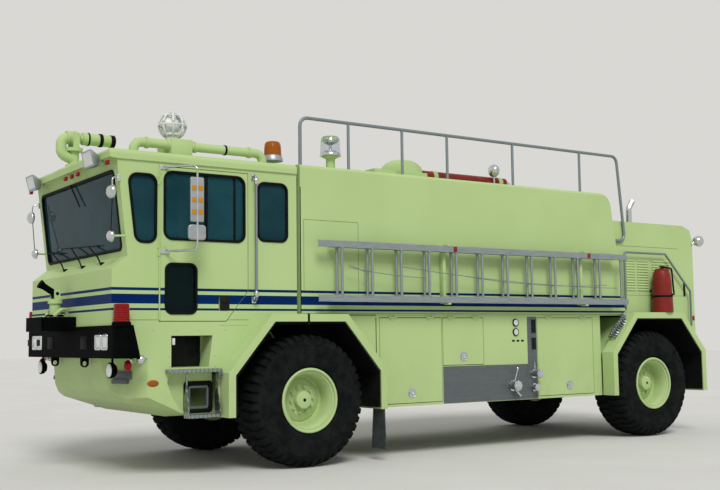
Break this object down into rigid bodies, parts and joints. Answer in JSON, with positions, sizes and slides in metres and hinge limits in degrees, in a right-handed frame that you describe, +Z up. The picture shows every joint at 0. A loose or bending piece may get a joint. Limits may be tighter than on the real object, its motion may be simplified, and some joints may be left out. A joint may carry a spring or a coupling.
{
  "type": "airport fire truck",
  "caption": "Airport fire truck with a forward cab, tank body with side ladder, roof and bumper turrets, opening doors and hatches, steering front wheels and a rear engine cover.",
  "frame": {"origin": "middle of the box's underside, on the ground", "axes": "+X to the rear, +Y to the right-hand side of the truck, +Z up; the front faces -X"},
  "size_m": [9.9, 3.33, 4.0509],
  "materials": {
    "lime_paint": "gloss lime yellow enamel, a little faded",
    "chassis_black": "satin black chassis paint",
    "black_paint": "gloss black enamel",
    "tyre": "black rubber, dusty",
    "glass": "tinted safety glass",
    "lamp_glass": "clear lamp glass",
    "ladder_aluminium": "mill finish, brushed",
    "tread_plate": "chequered plate",
    "panel_steel": "brushed stainless sheet",
    "bright_metal": "polished",
    "seat_fabric": "dark woven fabric",
    "cab_plastic": "moulded, matte",
    "red_paint": "gloss red enamel",
    "engine_iron": "oily cast iron"
  },
  "bodies": {
    "chassis": {"frame": "chassis_black", "springs": "chassis_black", "front_axle": "chassis_black", "rear_axle": "chassis_black", "driveline": "chassis_black", "cab_body": "lime_paint", "cab_front": "lime_paint", "cab_roof": "lime_paint", "cab_glass": "glass", "cab_skirt": "lime_paint", "cab_steps": "tread_plate", "seats": "seat_fabric", "dash": "cab_plastic", "bumper": "black_paint", "front_lamps": "lamp_glass", "roof_lights": "lamp_glass", "tank_body": "lime_paint", "lower_body": "lime_paint", "pump_panels": "panel_steel", "front_flares": "lime_paint", "rear_flares": "lime_paint", "mud_flaps": "tyre", "hood": "lime_paint", "engine": "engine_iron", "exhaust": "bright_metal", "tailboard": "lime_paint", "ladder": "ladder_aluminium", "handrail": "ladder_aluminium", "grab_rails": "ladder_aluminium", "extinguishers": "red_paint", "roof_hatch": "lime_paint"},
    "steer_left": {"knuckle_left": "chassis_black"},
    "steer_right": {"knuckle_right": "chassis_black"},
    "bumper_turret_swivel": {"bumper_turret_swivel": "lime_paint"},
    "bumper_turret_nozzle": {"bumper_turret_nozzle": "black_paint"},
    "roof_turret_swivel": {"roof_turret_swivel": "lime_paint"},
    "roof_turret_barrel": {"roof_turret_barrel": "lime_paint"},
    "front_wheel_left": {"front_left_tyre": "tyre", "front_left_rim": "lime_paint"},
    "rear_wheel_left": {"rear_left_tyre": "tyre", "rear_left_rim": "lime_paint"},
    "door_left": {"door_left": "lime_paint", "door_glass_left": "glass", "mirror_left": "bright_metal"},
    "rear_door_left": {"rear_door_left": "lime_paint"},
    "hatch_left_front": {"hatch_left_front": "lime_paint"},
    "hatch_left_middle": {"hatch_left_middle": "lime_paint"},
    "hatch_left_rear": {"hatch_left_rear": "lime_paint"},
    "front_wheel_right": {"front_right_tyre": "tyre", "front_right_rim": "lime_paint"},
    "rear_wheel_right": {"rear_right_tyre": "tyre", "rear_right_rim": "lime_paint"},
    "door_right": {"door_right": "lime_paint", "door_glass_right": "glass", "mirror_right": "bright_metal"},
    "rear_door_right": {"rear_door_right": "lime_paint"},
    "hatch_right_front": {"hatch_right_front": "lime_paint"},
    "hatch_right_middle": {"hatch_right_middle": "lime_paint"},
    "hatch_right_rear": {"hatch_right_rear": "lime_paint"}
  },
  "joints": [
    {"name": "front_wheel_left_spin", "type": "hinge", "parent": "steer_left", "child": "front_wheel_left", "pos_m": [-2.27, -1.215, 0.75], "axis": [0, 1, 0], "continuous": true},
    {"name": "rear_wheel_left_spin", "type": "hinge", "parent": "chassis", "child": "rear_wheel_left", "pos_m": [3.51, -1.215, 0.75], "axis": [0, 1, 0], "continuous": true},
    {"name": "steer_left", "type": "hinge", "parent": "chassis", "child": "steer_left", "pos_m": [-2.27, -1.08, 0.75], "axis": [0, 0, 1], "range_deg": [-30, 30]},
    {"name": "door_left_swing", "type": "hinge", "parent": "chassis", "child": "door_left", "pos_m": [-4.036, -1.329, 2.5], "axis": [0, 0, -1], "range_deg": [0, 75]},
    {"name": "rear_door_left_swing", "type": "hinge", "parent": "chassis", "child": "rear_door_left", "pos_m": [4.789, -1.156, 2.2], "axis": [0, 0, -1], "range_deg": [0, 100]},
    {"name": "hatch_left_front_lift", "type": "hinge", "parent": "chassis", "child": "hatch_left_front", "pos_m": [-0.7035, -1.309, 1.686], "axis": [-1, 0, 0], "range_deg": [0, 88]},
    {"name": "hatch_left_middle_lift", "type": "hinge", "parent": "chassis", "child": "hatch_left_middle", "pos_m": [0.1265, -1.309, 1.686], "axis": [-1, 0, 0], "range_deg": [0, 88]},
    {"name": "hatch_left_rear_lift", "type": "hinge", "parent": "chassis", "child": "hatch_left_rear", "pos_m": [1.9425, -1.309, 1.686], "axis": [-1, 0, 0], "range_deg": [0, 88]},
    {"name": "front_wheel_right_spin", "type": "hinge", "parent": "steer_right", "child": "front_wheel_right", "pos_m": [-2.27, 1.215, 0.75], "axis": [0, 1, 0], "continuous": true},
    {"name": "rear_wheel_right_spin", "type": "hinge", "parent": "chassis", "child": "rear_wheel_right", "pos_m": [3.51, 1.215, 0.75], "axis": [0, 1, 0], "continuous": true},
    {"name": "steer_right", "type": "hinge", "parent": "chassis", "child": "steer_right", "pos_m": [-2.27, 1.08, 0.75], "axis": [0, 0, 1], "range_deg": [-30, 30]},
    {"name": "door_right_swing", "type": "hinge", "parent": "chassis", "child": "door_right", "pos_m": [-4.036, 1.329, 2.5], "axis": [0, 0, 1], "range_deg": [0, 75]},
    {"name": "rear_door_right_swing", "type": "hinge", "parent": "chassis", "child": "rear_door_right", "pos_m": [4.789, 1.156, 2.2], "axis": [0, 0, 1], "range_deg": [0, 100]},
    {"name": "hatch_right_front_lift", "type": "hinge", "parent": "chassis", "child": "hatch_right_front", "pos_m": [-0.7035, 1.309, 1.686], "axis": [1, 0, 0], "range_deg": [0, 88]},
    {"name": "hatch_right_middle_lift", "type": "hinge", "parent": "chassis", "child": "hatch_right_middle", "pos_m": [0.1265, 1.309, 1.686], "axis": [1, 0, 0], "range_deg": [0, 88]},
    {"name": "hatch_right_rear_lift", "type": "hinge", "parent": "chassis", "child": "hatch_right_rear", "pos_m": [1.9425, 1.309, 1.686], "axis": [1, 0, 0], "range_deg": [0, 88]},
    {"name": "bumper_turret_turn", "type": "hinge", "parent": "chassis", "child": "bumper_turret_swivel", "pos_m": [-4.71, 0, 1.85], "axis": [0, 0, 1], "range_deg": [-90, 90]},
    {"name": "bumper_turret_tilt", "type": "hinge", "parent": "bumper_turret_swivel", "child": "bumper_turret_nozzle", "pos_m": [-4.71, 0, 1.98], "axis": [0, 1, 0], "range_deg": [-40, 45]},
    {"name": "roof_turret_turn", "type": "hinge", "parent": "chassis", "child": "roof_turret_swivel", "pos_m": [-4.465, 0.15, 3.6], "axis": [0, 0, 1], "range_deg": [-180, 180]},
    {"name": "roof_turret_tilt", "type": "hinge", "parent": "roof_turret_swivel", "child": "roof_turret_barrel", "pos_m": [-4.465, 0.15, 3.8], "axis": [0, -1, 0], "range_deg": [-15, 60]}
  ],
  "couplings": [
    {"joint": "steer_right", "follows": "steer_left", "ratio": 1}
  ]
}
